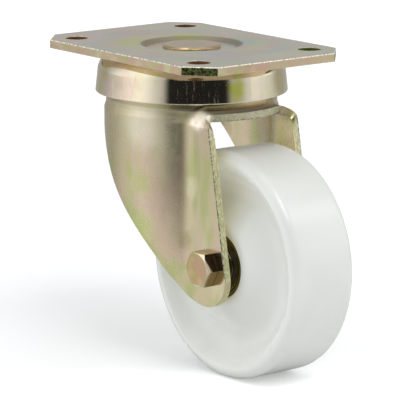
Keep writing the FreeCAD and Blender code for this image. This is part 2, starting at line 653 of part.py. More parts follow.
# Axle
def build_axle_bolt():
    body = new_body("axle_bolt")
    end = f"{FLANGE} + axle_washer_thick + axle_nut_height + axle_collar_height + bolt_tail"
    head = f"-{FLANGE} - bolt_head_height"
    under = f"-{FLANGE} - overcut"
    pad(body, hexagon("bolt_flats"), head, "bolt_head_height")
    bevel_hexagon(body, "bolt_flats", head, 1)
    spin(body, [("0", under), ("bolt_radius", under), ("bolt_radius", f"{end} - bolt_bevel"),
                ("bolt_radius - bolt_bevel", end), ("0", end)])
    on_axle(body)


def build_axle_washer():
    body = new_body("axle_washer")
    rim = "bolt_flats / 2 + washer_margin"
    spin(body, [("bolt_radius", "0"), (rim, "0"), (rim, "axle_washer_thick"),
                ("bolt_radius", "axle_washer_thick")])
    on_axle(body, FLANGE)


def build_axle_nut():
    """Lock nut: a hexagon with a round collar that grips the thread."""
    body = new_body("axle_nut")
    pad(body, hexagon("bolt_flats"), "0", "axle_nut_height")
    bevel_hexagon(body, "bolt_flats", "axle_nut_height", -1)
    top = "axle_nut_height + axle_collar_height"
    collar = "bolt_flats / 2 - axle_collar_step"
    spin(body, [("0", "axle_nut_height - overcut"), (collar, "axle_nut_height - overcut"),
                (collar, f"{top} - bolt_bevel"), (f"{collar} - bolt_bevel", top), ("0", top)])
    bore = new_sketch(body, "XY_Plane", f"{top} + overcut")
    circle(bore, "0", "0", "bolt_radius")
    feature(body, "Pocket", bore, Length=f"{top} + 2 * overcut")
    on_axle(body, f"{FLANGE} + axle_washer_thick")


def build_axle_sleeve():
    """Tube between the legs, on which the bearings' inner rings sit."""
    body = new_body("axle_sleeve")
    bore = "bolt_radius + bolt_play"
    spin(body, [(bore, f"-{LEG_INSIDE}"), (SLEEVE, f"-{LEG_INSIDE}"),
                (SLEEVE, LEG_INSIDE), (bore, LEG_INSIDE)])
    on_axle(body)


def turned_pair(stem, corners):
    """Two like turned pieces, mirrored about the wheel's middle. Heights grow away from it."""
    for name, sign in (("left_" + stem, 1), ("right_" + stem, -1)):
        body = new_body(name)
        mirrored = []
        for corner in corners:
            height = corner[1] if sign > 0 else f"-({corner[1]})"
            arc = corner[2:] if sign > 0 or len(corner) == 2 else (corner[2], -corner[3])
            mirrored.append((corner[0], height) + tuple(arc))
        spin(body, mirrored)
        on_axle(body)


def build_axle_spacers():
    """Rings from the bearings' inner rings out to the legs."""
    rim = f"{SLEEVE} + spacer_wall"
    turned_pair("spacer", [(SLEEVE, BEARING_FACE), (rim, BEARING_FACE), (rim, LEG_INSIDE),
                           (SLEEVE, LEG_INSIDE)])


# Wheel bearings
BEARING_FACE = "(wheel_width / 2 + bearing_proud)"
BEARING_BACK = f"({BEARING_FACE} - bearing_width)"
BEARING_MIDDLE = f"({BEARING_FACE} - bearing_width / 2)"
BEARING_PITCH = f"(({SLEEVE} + bearing_radius) / 2)"
BALL_GROOVE = "(bearing_ball_dia / 2 + ball_play)"
BEARING_HALF_CHORD = f"sqrt({BALL_GROOVE}^2 - ({BALL_GROOVE} - bearing_groove_depth)^2)"
INNER_RING = f"({BEARING_PITCH} - {BALL_GROOVE} + bearing_groove_depth)"
OUTER_RING = f"({BEARING_PITCH} + {BALL_GROOVE} - bearing_groove_depth)"


def build_bearing_rings():
    """Inner and outer rings with a round groove for the balls."""
    low, high = f"{BEARING_MIDDLE} - {BEARING_HALF_CHORD}", f"{BEARING_MIDDLE} + {BEARING_HALF_CHORD}"
    turned_pair("inner_ring", [(SLEEVE, BEARING_BACK), (INNER_RING, BEARING_BACK),
                               (INNER_RING, low, BALL_GROOVE, -1), (INNER_RING, high),
                               (INNER_RING, BEARING_FACE), (SLEEVE, BEARING_FACE)])
    turned_pair("outer_ring", [("bearing_radius - bearing_edge", BEARING_BACK),
                               ("bearing_radius", f"{BEARING_BACK} + bearing_edge"),
                               ("bearing_radius", f"{BEARING_FACE} - bearing_edge"),
                               ("bearing_radius - bearing_edge", BEARING_FACE),
                               (OUTER_RING, BEARING_FACE), (OUTER_RING, high, BALL_GROOVE, -1),
                               (OUTER_RING, low), (OUTER_RING, BEARING_BACK)])


def build_seals():
    """Rubber seals pressed into the outer rings, just clear of the inner rings."""
    low, high = f"{BEARING_FACE} - seal_inset - seal_thick", f"{BEARING_FACE} - seal_inset"
    near, far = f"{INNER_RING} + seal_gap", OUTER_RING
    turned_pair("seal", [(near, low), (far, low), (far, high), (near, high)])


def build_bearing_balls():
    for name, side in (("left_bearing_balls", 1), ("right_bearing_balls", -1)):
        row = ball_row(name, BEARING_BALLS, "bearing_ball_dia", BEARING_PITCH,
                       f"{side} * {BEARING_MIDDLE}")
        on_axle(row)


def build_cages():
    """Rings that space the balls, with a pocket for each ball."""
    for name, side in (("left_cage", 1), ("right_cage", -1)):
        middle = f"{side} * {BEARING_MIDDLE}"
        near, far = f"{BEARING_PITCH} - cage_thick / 2", f"{BEARING_PITCH} + cage_thick / 2"
        low, high = f"{middle} - cage_width / 2", f"{middle} + cage_width / 2"
        body = new_body(name)
        spin(body, [(near, low), (far, low), (far, high), (near, high)])
        window = new_sketch(body, "YZ_Plane")
        circle(window, "0", middle, "bearing_ball_dia / 2 + 2 * ball_play")
        pocket = feature(body, "Pocket", window, Length="bearing_radius", Reversed=True)
        pattern = body.newObject("PartDesign::PolarPattern", name + "_pockets")
        pattern.Originals = [pocket]
        pattern.Axis = (window, ["V_Axis"])
        pattern.Angle = 360.0
        pattern.Occurrences = BEARING_BALLS
        body.Tip = pattern
        doc.recompute()
        on_axle(body)


# Wheel
HUB_FACE = f"({BEARING_FACE} + bearing_sink)"
HUB = "(bearing_radius + hub_wall)"
RIM = "(wheel_radius - rim_width)"
WEB = "(wheel_width / 2 - recess_depth)"
RIM_ANGLE = "(rim_slope * 1 deg)"
HUB_ANGLE = "(hub_slope * 1 deg)"


def eased(across, along, slope, radius, rising, convex):
    """Two profile corners that round one corner between a flat and a slope, tangent to both.

    rising says that the slope comes after the corner, and convex that the metal is inside the bend.
    """
    reach = f"{radius} * tan({slope} / 2)"
    sign = "" if convex else "-"
    flat_end = (f"{across} {'-' if rising else '+'} {reach}", along)
    slope_end = (f"{across} {'+' if rising else '-'} {reach} * cos({slope})",
                 f"{along} - {sign}{reach} * sin({slope})")
    side = 1 if convex else -1
    first, last = (flat_end, slope_end) if rising else (slope_end, flat_end)
    return [first + (radius, side), last]


def both_sides(profile):
    """The profile mirrored below the wheel's middle, then the profile itself walked back."""
    below = [(corner[0], f"-({corner[1]})") + corner[2:] for corner in profile]
    above = []
    for index in reversed(range(len(profile))):
        arc = profile[index - 1][2:] if index else ()
        above.append(profile[index][:2] + arc)
    return below + above


def build_wheel():
    """One piece moulded wheel: rounded tread corners, dished sides, hub with bearing seats."""
    body = new_body("nylon_wheel")
    half = "wheel_width / 2"
    hub_foot = f"{HUB} + ({HUB_FACE} - {WEB}) / tan({HUB_ANGLE})"
    rim_foot = f"{RIM} - recess_depth / tan({RIM_ANGLE})"
    profile = [("bearing_radius - bearing_shoulder", BEARING_BACK), ("bearing_radius", BEARING_BACK),
               ("bearing_radius", f"{HUB_FACE} - seat_bevel"),
               ("bearing_radius + seat_bevel", HUB_FACE)]
    profile += eased(HUB, HUB_FACE, HUB_ANGLE, "hub_round", True, True)
    profile += eased(hub_foot, WEB, HUB_ANGLE, "recess_round", False, False)
    profile += eased(rim_foot, WEB, RIM_ANGLE, "recess_round", True, False)
    profile += eased(RIM, half, RIM_ANGLE, "rim_round", False, True)
    profile += [("wheel_radius - tread_round", half, "tread_round", 1),
                ("wheel_radius", f"{half} - tread_round")]
    spin(body, both_sides(profile))
    on_axle(body)


def check_and_write():
    """Every object up to date, every piece a valid solid of some volume, then one file for each."""
    doc.recompute()
    for thing in doc.Objects:
        if "Invalid" in thing.State or "Error" in thing.State:
            raise RuntimeError(f"{thing.Name} did not build: {thing.State}")
    os.makedirs("parts", exist_ok=True)
    for part in parts:
        shape = part.Shape
        if shape.isNull() or not shape.isValid() or shape.Volume < 1 or not shape.Solids:
            raise RuntimeError(f"{part.Label} is not a valid solid")
        shape.exportStep(f"parts/{part.Label}.step")
        print(f"{part.Label}: {len(shape.Solids)} solid, {shape.Volume / 1000:.2f} cm3")


build_plate()
build_cup()
build_king_pin()
build_lower_race()
build_pin_washer()
build_pin_nut()
ball_row("upper_balls", UPPER_BALLS, "upper_ball_dia", UPPER_PITCH, UPPER_ROW)
ball_row("lower_balls", LOWER_BALLS, "lower_ball_dia", LOWER_PITCH, LOWER_ROW)
build_fork()
build_axle_bolt()
build_axle_washer()
build_axle_nut()
build_axle_sleeve()
build_axle_spacers()
build_bearing_rings()
build_seals()
build_bearing_balls()
build_cages()
build_wheel()
check_and_write()
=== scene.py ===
"""Looks of the heavy duty swivel castor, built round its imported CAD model. All lengths are metres.

The plate's top face is z = 0, the swivel axis is the Z axis and the wheel trails towards +X. All of
the castor's pieces are CAD nodes: this script gives them finishes, which are node materials on Object
coordinates, and builds the photograph's studio round them. The one new piece is the floor.
"""

import json
import math

import bpy
import numpy as np
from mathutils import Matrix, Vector


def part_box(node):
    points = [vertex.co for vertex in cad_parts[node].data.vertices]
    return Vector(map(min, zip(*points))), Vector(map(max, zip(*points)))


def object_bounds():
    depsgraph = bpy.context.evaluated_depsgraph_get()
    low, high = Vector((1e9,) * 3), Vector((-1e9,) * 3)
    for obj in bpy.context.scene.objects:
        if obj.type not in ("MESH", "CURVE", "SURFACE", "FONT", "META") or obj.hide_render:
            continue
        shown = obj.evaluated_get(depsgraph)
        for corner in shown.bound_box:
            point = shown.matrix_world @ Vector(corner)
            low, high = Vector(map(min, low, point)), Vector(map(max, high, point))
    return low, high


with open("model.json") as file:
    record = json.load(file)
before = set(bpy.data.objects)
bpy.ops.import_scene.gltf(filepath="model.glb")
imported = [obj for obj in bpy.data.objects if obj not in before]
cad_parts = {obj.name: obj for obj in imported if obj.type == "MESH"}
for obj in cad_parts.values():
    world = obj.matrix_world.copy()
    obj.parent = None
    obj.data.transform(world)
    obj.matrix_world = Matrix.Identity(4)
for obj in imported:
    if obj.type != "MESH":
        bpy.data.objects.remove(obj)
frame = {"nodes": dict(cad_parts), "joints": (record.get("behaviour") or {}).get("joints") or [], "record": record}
cad_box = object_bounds()
MM = 0.001
WHITE = (1.0, 1.0, 1.0)
BLACK = (0.0, 0.0, 0.0)

# Places on the CAD model that the finishes follow. The frame gives the first ones
AXLE = next(joint["pos_m"] for joint in frame["joints"] if joint["name"] == "wheel_spin")
BOLTS = next(mount["dims"] for mount in frame["record"]["mounts"] if mount["name"] == "plate_bolts")
HOLE_X = BOLTS["spacing_x_mm"] / 2 * MM
HOLE_Y = BOLTS["spacing_y_mm"] / 2 * MM
HOLE_RADIUS = BOLTS["hole_r_mm"] * MM
FLANGE_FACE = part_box("axle_washer")[0].y
HEAD_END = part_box("axle_bolt")[0].y
TAIL_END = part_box("axle_bolt")[1].y
NUT_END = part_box("axle_nut")[1].y
FLANGE_BACK = FLANGE_FACE - 4.0 * MM
FRONT_LEAN = 0.1854
FRONT_LINE = 47.29 * MM
LIP_RADIUS = 52.5 * MM
CORNER_WAY = (0.670, 0.743)
CORNER_FACE = 79.45 * MM
DISH_FOOT = 24.8 * MM
SEAL_RADIUS = 14.7 * MM
BEARING_RADIUS = 17.5 * MM
THREAD_LENGTH = 3.0 * MM
THREAD_PITCH = 1.75 * MM


# Node trees
class Signal:
    """A value, colour or vector on its way through a node tree. Operators add Math nodes."""

    def __init__(self, tree, socket):
        self.tree = tree
        self.socket = socket

    def math(self, operation, *others):
        """A Math node on this value and the others."""
        terms = (self,) + others
        return self.tree.node("ShaderNodeMath", {"operation": operation}, dict(enumerate(terms)))

    def __add__(self, other):
        return self.math("ADD", other)

    __radd__ = __add__

    def __sub__(self, other):
        return self.math("SUBTRACT", other)

    def __rsub__(self, other):
        return self.math("MULTIPLY_ADD", -1.0, other)

    def __mul__(self, other):
        return self.math("MULTIPLY", other)

    __rmul__ = __mul__

    def __pow__(self, other):
        return self.math("POWER", other)

    def ramp(self, low, high, start=0.0, end=1.0):
        """start below low, end above high, and a smooth step between them."""
        return self.tree.node("ShaderNodeMapRange", {"interpolation_type": "SMOOTHSTEP"},
                              {"Value": self, "From Min": low, "From Max": high,
                               "To Min": start, "To Max": end})

    def mix(self, low, high):
        """The colour low where this is 0 and high where it is 1."""
        return self.tree.node("ShaderNodeMix", {"data_type": "RGBA"},
                              {0: self, 6: low, 7: high}, output=2)

    def near(self, centre, reach, soft):
        """1 within reach of the centre, fading to 0 over the soft width."""
        return (self - centre).math("ABSOLUTE").ramp(reach - soft / 2, reach + soft / 2, 1.0, 0.0)

    def parts(self):
        """The three numbers of a vector."""
        split = self.tree.node("ShaderNodeSeparateXYZ", {}, {0: self}).socket.node
        return [Signal(self.tree, split.outputs[place]) for place in range(3)]


class Tree:
    """Adds nodes to a node tree."""

    def __init__(self, node_tree):
        self.nodes = node_tree.nodes
        self.links = node_tree.links
        self.nodes.clear()

    def node(self, kind, settings=None, inputs=None, output=0):
        """A node of one kind: its settings first, then values or links of its sockets."""
        made = self.nodes.new(kind)
        for name, setting in (settings or {}).items():
            setattr(made, name, setting)
        for name, value in (inputs or {}).items():
            if isinstance(value, Signal):
                self.links.new(value.socket, made.inputs[name])
            elif isinstance(value, (tuple, list)) and len(value) == 3 and made.inputs[name].type == "RGBA":
                made.inputs[name].default_value = (*value, 1.0)
            else:
                made.inputs[name].default_value = value
        return Signal(self, made.outputs[output]) if made.outputs else made

    def place(self, stretch=(1.0, 1.0, 1.0)):
        """Object coordinates in metres, each axis times its stretch."""
        point = self.node("ShaderNodeTexCoord", {}, {}, "Object")
        if stretch == (1.0, 1.0, 1.0):
            return point
        return self.node("ShaderNodeMapping", {}, {"Vector": point, "Scale": stretch})

    def noise(self, size, detail=2.0, stretch=(1.0, 1.0, 1.0), seed=0.0, warp=0.0):
        """Soft noise whose patches are about size metres across."""
        return self.node("ShaderNodeTexNoise", {"noise_dimensions": "4D"},
                         {"Vector": self.place(stretch), "W": seed, "Scale": 1.0 / size,
                          "Detail": detail, "Roughness": 0.5, "Distortion": warp})

    def spot(self, centre, reach):
        """1 at a place on the object, fading to 0 at reach metres from it, with a ragged outline."""
        away = self.node("ShaderNodeVectorMath", {"operation": "DISTANCE"},
                         {0: self.place(), 1: centre}, "Value")
        ragged = away + (self.noise(reach * 0.6, 3.0, seed=centre[2]) - 0.5) * (reach * 0.9)
        return ragged.ramp(reach * 0.25, reach, 1.0, 0.0)

    def from_axle(self):
        """The place measured from the axle's middle, and how far it is from the axle's line."""
        x, y, z = self.place().parts()
        over = x - AXLE[0]
        beside = z - AXLE[2]
        return (over, y, beside), (over * over + beside * beside) ** 0.5

    def bump(self, height, distance, strength, normal=None):
        """The normal tilted by a height from 0 to 1, which stands for distance metres."""
        inputs = {"Height": height, "Distance": distance, "Strength": strength}
        if normal is not None:
            inputs["Normal"] = normal
        return self.node("ShaderNodeBump", {}, inputs)

    def soft_edge(self, radius):
        """The normal with edges rounded to a radius, and a mask that is 1 on them."""
        rounded = self.node("ShaderNodeBevel", {"samples": 6}, {"Radius": radius})
        plain = self.node("ShaderNodeNewGeometry", {}, {}, "Normal")
        match = self.node("ShaderNodeVectorMath", {"operation": "DOT_PRODUCT"},
                          {0: rounded, 1: plain}, "Value")
        return rounded, match.ramp(0.86, 0.995, 1.0, 0.0)


def finish(name, make):
    """A material whose surface is what make returns for its tree."""
    material = bpy.data.materials.new(name)
    material.use_nodes = True
    tree = Tree(material.node_tree)
    shader = make(tree)
    tree.node("ShaderNodeOutputMaterial", {}, {"Surface": shader})
    return material


# Platings: the main colour, then the pink, green and straw patches
SHEET_PLATING = ((0.60, 0.53, 0.34), (0.63, 0.49, 0.38), (0.47, 0.50, 0.22), (0.70, 0.65, 0.44))
PLATE_PLATING = ((0.68, 0.63, 0.49), (0.70, 0.58, 0.49), (0.58, 0.62, 0.46), (0.74, 0.69, 0.50))
SIDE_PLATING = ((0.66, 0.54, 0.36), (0.70, 0.43, 0.37), (0.52, 0.58, 0.22), (0.76, 0.68, 0.46))
CUP_PLATING = ((0.84, 0.76, 0.59), (0.88, 0.71, 0.61), (0.76, 0.73, 0.44), (0.93, 0.87, 0.69))
BOLT_PLATING = ((0.48, 0.35, 0.19), (0.52, 0.34, 0.23), (0.42, 0.38, 0.14), (0.60, 0.47, 0.25))

# Tints
GREEN = (0.50, 0.56, 0.22)
LEAF = (0.60, 0.66, 0.20)
LIME = (0.66, 0.68, 0.14)
MOSS = (0.16, 0.20, 0.04)
OLIVE = (0.36, 0.32, 0.16)
PINK = (0.70, 0.46, 0.40)
BLUE = (0.46, 0.58, 0.52)
VIOLET = (0.56, 0.54, 0.62)
STRAW = (0.80, 0.74, 0.54)
YELLOW = (0.62, 0.53, 0.26)
RUST = (0.26, 0.11, 0.06)
# The next two colours are painted highlights on the fork's bend and body
PAINTED_GLEAM_PINK = (0.95, 0.88, 0.82)
PAINTED_HIGHLIGHT_STRAW = (0.86, 0.81, 0.66)
EDGE = (0.90, 0.88, 0.80)
CHIP_GLINT = (0.95, 0.93, 0.84)
REFLECTED_GOLD = (0.93, 0.85, 0.62)

# Spots: the place, how far it reaches, its tint and its share
PLATE_SPOTS = [
    ((-0.025, -0.022, 0.0), 0.019, LEAF, 1.0),
    ((-0.051, -0.002, 0.0), 0.020, PINK, 0.7),
    ((-0.020, -0.014, -0.001), 0.011, PINK, 0.8),
    ((-0.024, 0.015, -0.0005), 0.014, LEAF, 1.0),
    ((0.013, 0.027, 0.0), 0.020, BLUE, 0.9),
    ((0.025, 0.013, -0.001), 0.010, PINK, 0.8),
    ((0.038, -0.010, 0.0), 0.018, VIOLET, 0.8),
    ((0.050, -0.010, 0.0), 0.018, PINK, 0.3),
]
CUP_SPOTS = [
    ((0.0518, -0.0100, -0.018), 0.0085, LIME, 0.95),
    ((0.0460, 0.0280, -0.016), 0.016, YELLOW, 0.7),
    ((0.0470, -0.0074, -0.008), 0.008, LIME, 0.8),
    ((0.010, -0.052, -0.017), 0.012, PINK, 0.4),
    ((-0.020, -0.049, -0.016), 0.017, YELLOW, 0.7),
]
FORK_SPOTS = [
    ((-0.012, -0.041, -0.064), 0.012, GREEN, 0.7),
    ((0.014, -0.043, -0.070), 0.010, GREEN, 0.6),
    ((0.012, -0.040, -0.095), 0.012, GREEN, 0.7),
    ((0.036, -0.031, -0.100), 0.007, OLIVE, 0.5),
    ((0.040, -0.031, -0.070), 0.009, STRAW, 0.5),
    ((-0.030, -0.036, -0.060), 0.016, OLIVE, 0.5),
    # The last two fork spots are painted highlights: a pale gleam on the near leg's front bend and a pale
    # highlight high on the body's near side
    ((0.0445, -0.030, -0.0325), 0.009, PAINTED_GLEAM_PINK, 0.9),
    ((0.019, -0.048, -0.036), 0.024, PAINTED_HIGHLIGHT_STRAW, 0.55),
]

# Rings of tint round the dish: radius, width, tint and share
PLATE_RINGS = [(0.036, 0.008, LEAF, 0.45), (0.044, 0.010, PINK, 0.4), (0.052, 0.010, BLUE, 0.5)]


def passivated(tree, plating, patch, flow=1.0, spots=()):
    """Colour of yellow passivated zinc: soft patches of the plating's colours, and a few spots of tint, some of
    them painted highlights.

    The patches are about patch metres wide, and flow below 1 draws them out upright.
    """
    main, pink_tone, green_tone, straw_tone = plating
    stretch = (1.0, 1.0, flow)
    pink = tree.noise(patch, 2.0, stretch, seed=1.0, warp=0.7)
    green = tree.noise(patch * 0.8, 2.0, stretch, seed=5.3, warp=0.9)
    straw = tree.noise(patch * 0.6, 3.0, stretch, seed=9.1)
    colour = pink.ramp(0.44, 0.66, 0.0, 0.85).mix(main, pink_tone)
    colour = green.ramp(0.5, 0.68, 0.0, 0.8).mix(colour, green_tone)
    colour = straw.ramp(0.48, 0.72, 0.0, 0.7).mix(colour, straw_tone)
    for centre, reach, tint, share in spots:
        colour = (tree.spot(centre, reach) * share).mix(colour, tint)
    return colour


def plated(tree, colour, gloss, mottle, streak=0.0, edge=0.5 * MM, metal=1.0, relief=None, glow=None):
    """Zinc plating over sheet or bar: grain, fine upright lines and bright worn edges.

    gloss is the roughness, which mottle and streak vary. relief adds a height to the grain's, and
    glow is light that the surface gives off.
    """
    drawn_out = (1.0, 1.0, 0.05)
    rounded, worn = tree.soft_edge(edge)
    grain = tree.noise(0.9 * MM, 3.0, seed=2.0)
    cloud = tree.noise(9.0 * MM, 3.0, seed=7.7)
    lines = tree.noise(0.8 * MM, 2.0, drawn_out, seed=4.0)
    broad = tree.noise(6.0 * MM, 2.0, drawn_out, seed=6.0)
    drawn = lines.ramp(0.52, 0.72) * broad.ramp(0.42, 0.6)
    chips = tree.noise(1.1 * MM, 2.0, seed=3.0).ramp(0.35, 0.6)
    colour = (worn * chips * 0.9).mix(colour, EDGE)
    rough = grain * mottle + cloud * mottle + drawn * streak + (gloss - mottle)
    height = grain + lines * (streak * 3.0)
    if relief is not None:
        height = height + relief
    normal = tree.bump(height, 0.012 * MM, 0.18, rounded)
    inputs = {"Base Color": colour, "Metallic": metal, "Roughness": rough, "Normal": normal}
    if glow is not None:
        inputs.update({"Emission Color": glow, "Emission Strength": 1.0})
    return tree.node("ShaderNodeBsdfPrincipled", {}, inputs)


def plate_face(tree, away, slope):
    """Colour of the plate's top: spots, broken rings of tint round the dish, painted shade on the dish's wall and
    a painted shadow line at its foot.
    """
    ragged = away + (tree.noise(0.035, 3.0, seed=2.2) - 0.5) * 0.034
    broken = tree.noise(0.030, 2.0, seed=8.1).ramp(0.30, 0.52)
    colour = passivated(tree, PLATE_PLATING, 0.050, spots=PLATE_SPOTS)
    for radius, width, tint, share in PLATE_RINGS:
        colour = (ragged.near(radius, width / 2, width) * broken * share).mix(colour, tint)
    # Painted shade: the dish's wall is darkened, and a painted dark shadow line runs round its foot
    foot_shadow = away.near(DISH_FOOT, 0.5 * MM, 1.0 * MM)
    colour = (slope * 0.75).mix(colour, (0.24, 0.21, 0.14))
    return (foot_shadow * 0.6).mix(colour, (0.20, 0.13, 0.11))


def plate_holes(tree, x, y, z):
    """1 in the plate's bolt holes, 1 below their upper edge, and the colour of their walls."""
    over = x.math("ABSOLUTE") - HOLE_X
    beside = y.math("ABSOLUTE") - HOLE_Y
    away = (over * over + beside * beside) ** 0.5
    hole = away.ramp(HOLE_RADIUS + 0.02 * MM, HOLE_RADIUS + 0.10 * MM, 1.0, 0.0)
    wall = (tree.spot((0.055, 0.038, -0.0024), 0.020) * 2.0).mix(RUST, MOSS)
    return hole, z.ramp(-0.35 * MM, -0.20 * MM, 1.0, 0.0), wall


def plate_zinc(tree):
    """The plate: tinted top, pinker sides, dark hole walls, corner faces painted dark as a reflection, and upper
    edges chipped and painted with a bright glint.
    """
    x, y, z = tree.place().parts()
    away = (x * x + y * y) ** 0.5
    slope = away.ramp(24.5 * MM, 25.5 * MM) * away.ramp(27.5 * MM, 29.0 * MM, 1.0, 0.0)
    colour = plate_face(tree, away, slope)
    side = z.ramp(-0.9 * MM, -0.5 * MM, 1.0, 0.0) * away.ramp(40.0 * MM, 42.0 * MM)
    colour = ((1.0 - side) * 0.18).mix(colour, BLACK)
    colour = side.mix(colour, passivated(tree, SIDE_PLATING, 0.013))
    toward_corner = x.math("ABSOLUTE") * CORNER_WAY[0] + y.math("ABSOLUTE") * CORNER_WAY[1]
    corner = toward_corner.near(CORNER_FACE, 0.25 * MM, 0.30 * MM)
    # Painted reflection: the corner faces are painted dark, as they mirror the dark room, over a torn grain
    torn_dark_reflection = tree.noise(1.3 * MM, 3.0, seed=6.1).ramp(0.38, 0.62).mix((0.05, 0.055, 0.025), (0.36, 0.42, 0.14))
    colour = (corner * z.ramp(-0.6 * MM, -0.4 * MM, 1.0, 0.0)).mix(colour, torn_dark_reflection)
    # The upper edges are chipped, and the chips are painted near white as a glint along the edge
    chips = tree.noise(1.0 * MM, 2.0, seed=3.4).ramp(0.42, 0.54)
    rim = z.near(-0.40 * MM, 0.25 * MM, 0.25 * MM) * away.ramp(50.0 * MM, 51.0 * MM) * chips
    colour = rim.mix(colour, CHIP_GLINT)
    hole, below, wall = plate_holes(tree, x, y, z)
    colour = (hole * below).mix(colour, wall)
    gloss = rim * 0.2 + hole * 0.35 + slope * 0.25 + corner * 0.12 + 0.20
    return plated(tree, colour, gloss, 0.06, edge=0.6 * MM, metal=side * 0.35 + 0.65)


def cup_zinc(tree):
    """The drawn cup: glossy enough to mirror the room, with upright draw lines and scratches."""
    colour = passivated(tree, CUP_PLATING, 0.030, 0.5, CUP_SPOTS)
    scratch = tree.noise(0.5 * MM, 1.0, (1.0, 0.55, 1.6), seed=2.7).ramp(0.70, 0.74)
    scratch = scratch * tree.noise(0.012, 1.0, seed=4.4).ramp(0.50, 0.60)
    return plated(tree, (scratch * 0.5).mix(colour, EDGE), scratch * 0.25 + 0.09, 0.03, 0.30, edge=0.4 * MM)


def fork_sheet(tree, x, across, z):
    """Colour of the fork's faces: spots of tint and painted highlight, pale flecks, and olive painted shade in the
    valley and on the neck under the cup.
    """
    colour = passivated(tree, SHEET_PLATING, 0.026, 0.5, FORK_SPOTS)
    flecks = tree.noise(0.8 * MM, 1.0, seed=6.6).ramp(0.70, 0.73)
    flecks = flecks * tree.noise(0.016, 1.0, seed=1.9).ramp(0.5, 0.6)
    colour = (flecks * 0.6).mix(colour, EDGE)
    # Painted shade: olive in the valley between body and flange, and on the neck under the cup
    valley_shade = x.near(35.5 * MM, 1.5 * MM, 4.0 * MM) * across.ramp(34.5 * MM, 37.0 * MM, 1.0, 0.0)
    colour = (valley_shade * z.ramp(-0.095, -0.065) * 0.55).mix(colour, OLIVE)
    return (fork_neck(z) * 0.55).mix(colour, OLIVE)


def fork_neck(z):
    """1 on the neck, which stands above the crown."""
    return z.ramp(-29.2 * MM, -28.0 * MM)


def fork_cuts(x, y, across, z):
    """1 on the legs' cut front edges, 1 on the crown's cut lip, and 1 on the outer line of both."""
    away = (x * x + y * y) ** 0.5
    front = (x + z * FRONT_LEAN).near(FRONT_LINE, 0.25 * MM, 0.30 * MM)
    front = front * across.ramp(FLANGE_BACK - 0.4 * MM, FLANGE_BACK - 0.1 * MM)
    lip = away.near(LIP_RADIUS, 0.15 * MM, 0.20 * MM) * z.ramp(-35.5 * MM, -35.0 * MM) * x.ramp(0.035, 0.037)
    outer = across.ramp(FLANGE_FACE - 0.7 * MM, FLANGE_FACE - 0.5 * MM)
    lower = z.ramp(-34.5 * MM, -34.2 * MM, 1.0, 0.0)
    return front, lip, front * outer + lip * lower


def fork_zinc(tree):
    """The pressed fork: satin and mottled, glossier on its flat flanges, grainy on its cut edges.

    Light thrown back by the wheel is painted as a faint glow inside the legs, yellower on the near one,
    whose inner face is painted darker and yellower as shade, and the near leg's front bend has a painted
    pale gleam.
    """
    x, y, z = tree.place().parts()
    across = y.math("ABSOLUTE")
    colour = fork_sheet(tree, x, across, z)
    front, lip, arris = fork_cuts(x, y, across, z)
    lines = tree.noise(0.45 * MM, 2.0, (1.0, 1.0, 0.10), seed=5.5).ramp(0.40, 0.60)
    grain = tree.noise(0.6 * MM, 2.0, seed=7.1).ramp(0.35, 0.65)
    colour = front.mix(colour, lines.mix((0.58, 0.56, 0.32), (0.86, 0.84, 0.56)))
    colour = lip.mix(colour, grain.mix((0.40, 0.39, 0.25), (0.64, 0.62, 0.44)))
    dots = tree.noise(0.9 * MM, 1.0, seed=9.3).ramp(0.46, 0.54)
    colour = (arris * dots * 0.9).mix(colour, (0.09, 0.09, 0.05))
    flange = across.near(FLANGE_FACE, 0.4 * MM, 0.4 * MM) * x.ramp(0.036, 0.046)
    crest = z.ramp(-37.0 * MM, -34.0 * MM)
    blotch = tree.noise(3.5 * MM, 2.0, (1.0, 1.0, 0.7), seed=3.9).ramp(0.35, 0.7)
    gloss = blotch * 0.06 + crest * 0.08 + (front + lip) * 0.15 + 0.26 - flange * 0.15 - fork_neck(z) * 0.15
    within = across.ramp(FLANGE_BACK, FLANGE_BACK + 0.6 * MM, 1.0, 0.0)
    inside = within * z.ramp(-40.0 * MM, -37.0 * MM, 1.0, 0.0)
    near_side = inside * y.ramp(-1.0 * MM, 1.0 * MM, 1.0, 0.0)
    # Painted shade: the near leg's inner face is darker and yellower. Painted light: a faint glow inside both
    # legs, yellower on the near one
    colour = (near_side * 0.75).mix(colour, (0.34, 0.28, 0.09))
    glow = inside.mix(BLACK, near_side.mix((0.12, 0.10, 0.035), (0.20, 0.165, 0.02)))
    # Painted highlight: a pale glow on the near leg's front bend
    glow = tree.spot((0.0445, -0.0288, -0.0320), 0.008).mix(glow, (0.52, 0.48, 0.38))
    shoulder = crest * x.ramp(0.028, 0.036) * z.ramp(-30.0 * MM, -29.2 * MM, 1.0, 0.0)
    metal = 1.0 - inside * 0.7 - shoulder * 0.5
    return plated(tree, colour, gloss, 0.03, 0.06, metal=metal, glow=glow)


def fastener_zinc(tree):
    """Pin, nut and washers: orange gold, with finer patches and turned steel's gloss."""
    return plated(tree, passivated(tree, BOLT_PLATING, 0.012), 0.14, 0.05, edge=0.35 * MM, metal=0.75)


